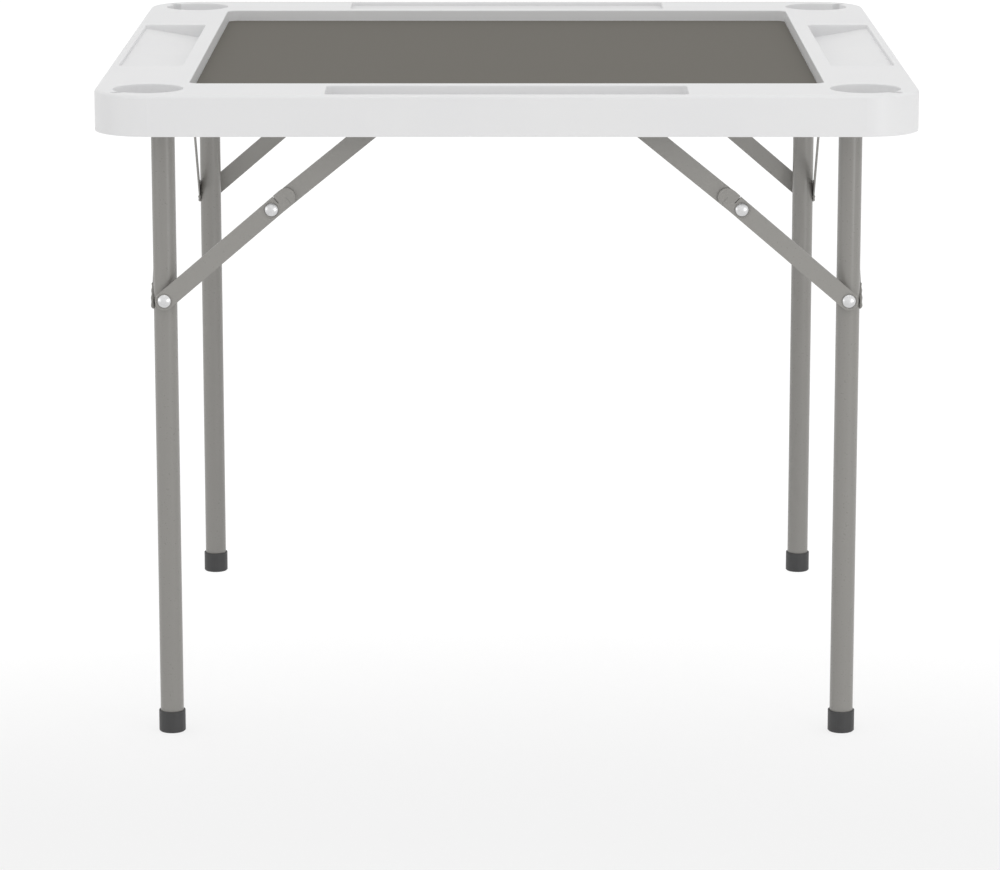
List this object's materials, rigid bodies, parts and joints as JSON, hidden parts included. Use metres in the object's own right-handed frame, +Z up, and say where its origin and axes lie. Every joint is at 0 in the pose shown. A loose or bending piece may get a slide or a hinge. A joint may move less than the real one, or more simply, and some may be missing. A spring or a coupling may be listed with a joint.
{
  "type": "folding card table",
  "caption": "Square folding card table with a recessed play mat, edge trays and corner cups on tube legs that fold flat on hinged braces.",
  "frame": {"origin": "floor level under the middle of the top", "axes": "+Z up, -Y towards the front side seen in the picture, +X to its right"},
  "size_m": [0.876, 0.876, 0.711],
  "materials": {
    "moulded_top": "satin moulded plastic, very light grey",
    "play_mat": "fine pebbled sheet, warm dark grey",
    "foot_caps": "matt moulded, dark grey",
    "bright_rivets": "bright zinc plated",
    "leg_tubes": "powder coated, grey",
    "steel_strips": "powder coated, grey"
  },
  "bodies": {
    "tabletop": {"tabletop_moulding": "moulded_top", "play_mat": "play_mat", "front_rail": "steel_strips", "rear_rail": "steel_strips", "rail_screws": "bright_rivets", "bracket_screws": "bright_rivets", "hinge_pins": "bright_rivets", "anchor_rivets": "bright_rivets", "left_front_pivot_bracket": "steel_strips", "left_rear_pivot_bracket": "steel_strips", "right_front_pivot_bracket": "steel_strips", "right_rear_pivot_bracket": "steel_strips"},
    "left_leg_frame": {"left_cross_tube": "leg_tubes", "left_leg_rivets": "bright_rivets", "left_front_leg": "leg_tubes", "left_front_foot_cap": "foot_caps", "left_front_strut": "steel_strips", "left_front_hinge_ear": "steel_strips", "left_rear_leg": "leg_tubes", "left_rear_foot_cap": "foot_caps", "left_rear_strut": "steel_strips", "left_rear_hinge_ear": "steel_strips"},
    "left_front_lower_brace": {"left_front_lower_link": "steel_strips", "left_front_knee_rivet": "bright_rivets"},
    "left_front_upper_brace": {"left_front_upper_link": "steel_strips", "left_front_knee_rivet_tail": "bright_rivets"},
    "left_rear_lower_brace": {"left_rear_lower_link": "steel_strips", "left_rear_knee_rivet": "bright_rivets"},
    "left_rear_upper_brace": {"left_rear_upper_link": "steel_strips", "left_rear_knee_rivet_tail": "bright_rivets"},
    "right_leg_frame": {"right_cross_tube": "leg_tubes", "right_leg_rivets": "bright_rivets", "right_front_leg": "leg_tubes", "right_front_foot_cap": "foot_caps", "right_front_strut": "steel_strips", "right_front_hinge_ear": "steel_strips", "right_rear_leg": "leg_tubes", "right_rear_foot_cap": "foot_caps", "right_rear_strut": "steel_strips", "right_rear_hinge_ear": "steel_strips"},
    "right_front_lower_brace": {"right_front_lower_link": "steel_strips", "right_front_knee_rivet": "bright_rivets"},
    "right_front_upper_brace": {"right_front_upper_link": "steel_strips", "right_front_knee_rivet_tail": "bright_rivets"},
    "right_rear_lower_brace": {"right_rear_lower_link": "steel_strips", "right_rear_knee_rivet": "bright_rivets"},
    "right_rear_upper_brace": {"right_rear_upper_link": "steel_strips", "right_rear_knee_rivet_tail": "bright_rivets"}
  },
  "joints": [
    {"name": "left_legs_fold", "type": "hinge", "parent": "tabletop", "child": "left_leg_frame", "pos_m": [-0.338, 0, 0.687], "axis": [0, -1, 0], "range_deg": [0, 91]},
    {"name": "left_front_lower_turn", "type": "hinge", "parent": "left_leg_frame", "child": "left_front_lower_brace", "pos_m": [-0.367, -0.3817, 0.48198], "axis": [0, -1, 0], "range_deg": [0, 51]},
    {"name": "left_front_upper_turn", "type": "hinge", "parent": "tabletop", "child": "left_front_upper_brace", "pos_m": [-0.12436, -0.3817, 0.6836], "axis": [0, 1, 0], "range_deg": [0, 29.1]},
    {"name": "left_rear_lower_turn", "type": "hinge", "parent": "left_leg_frame", "child": "left_rear_lower_brace", "pos_m": [-0.367, 0.3817, 0.48198], "axis": [0, -1, 0], "range_deg": [0, 51]},
    {"name": "left_rear_upper_turn", "type": "hinge", "parent": "tabletop", "child": "left_rear_upper_brace", "pos_m": [-0.12436, 0.3817, 0.6836], "axis": [0, 1, 0], "range_deg": [0, 29.1]},
    {"name": "right_legs_fold", "type": "hinge", "parent": "tabletop", "child": "right_leg_frame", "pos_m": [0.317, 0, 0.664], "axis": [0, 1, 0], "range_deg": [0, 90]},
    {"name": "right_front_lower_turn", "type": "hinge", "parent": "right_leg_frame", "child": "right_front_lower_brace", "pos_m": [0.367, -0.3817, 0.48198], "axis": [0, 1, 0], "range_deg": [0, 36.6]},
    {"name": "right_front_upper_turn", "type": "hinge", "parent": "tabletop", "child": "right_front_upper_brace", "pos_m": [0.12436, -0.3817, 0.6836], "axis": [0, -1, 0], "range_deg": [0, 26.7]},
    {"name": "right_rear_lower_turn", "type": "hinge", "parent": "right_leg_frame", "child": "right_rear_lower_brace", "pos_m": [0.367, 0.3817, 0.48198], "axis": [0, 1, 0], "range_deg": [0, 36.6]},
    {"name": "right_rear_upper_turn", "type": "hinge", "parent": "tabletop", "child": "right_rear_upper_brace", "pos_m": [0.12436, 0.3817, 0.6836], "axis": [0, -1, 0], "range_deg": [0, 26.7]}
  ],
  "couplings": [
    {"joint": "left_front_lower_turn", "follows": "left_legs_fold", "ratio": 0.55929},
    {"joint": "left_front_upper_turn", "follows": "left_legs_fold", "ratio": 0.31834},
    {"joint": "left_rear_lower_turn", "follows": "left_legs_fold", "ratio": 0.55929},
    {"joint": "left_rear_upper_turn", "follows": "left_legs_fold", "ratio": 0.31834},
    {"joint": "right_front_lower_turn", "follows": "right_legs_fold", "ratio": 0.40484},
    {"joint": "right_front_upper_turn", "follows": "right_legs_fold", "ratio": 0.29505},
    {"joint": "right_rear_lower_turn", "follows": "right_legs_fold", "ratio": 0.40484},
    {"joint": "right_rear_upper_turn", "follows": "right_legs_fold", "ratio": 0.29505}
  ]
}
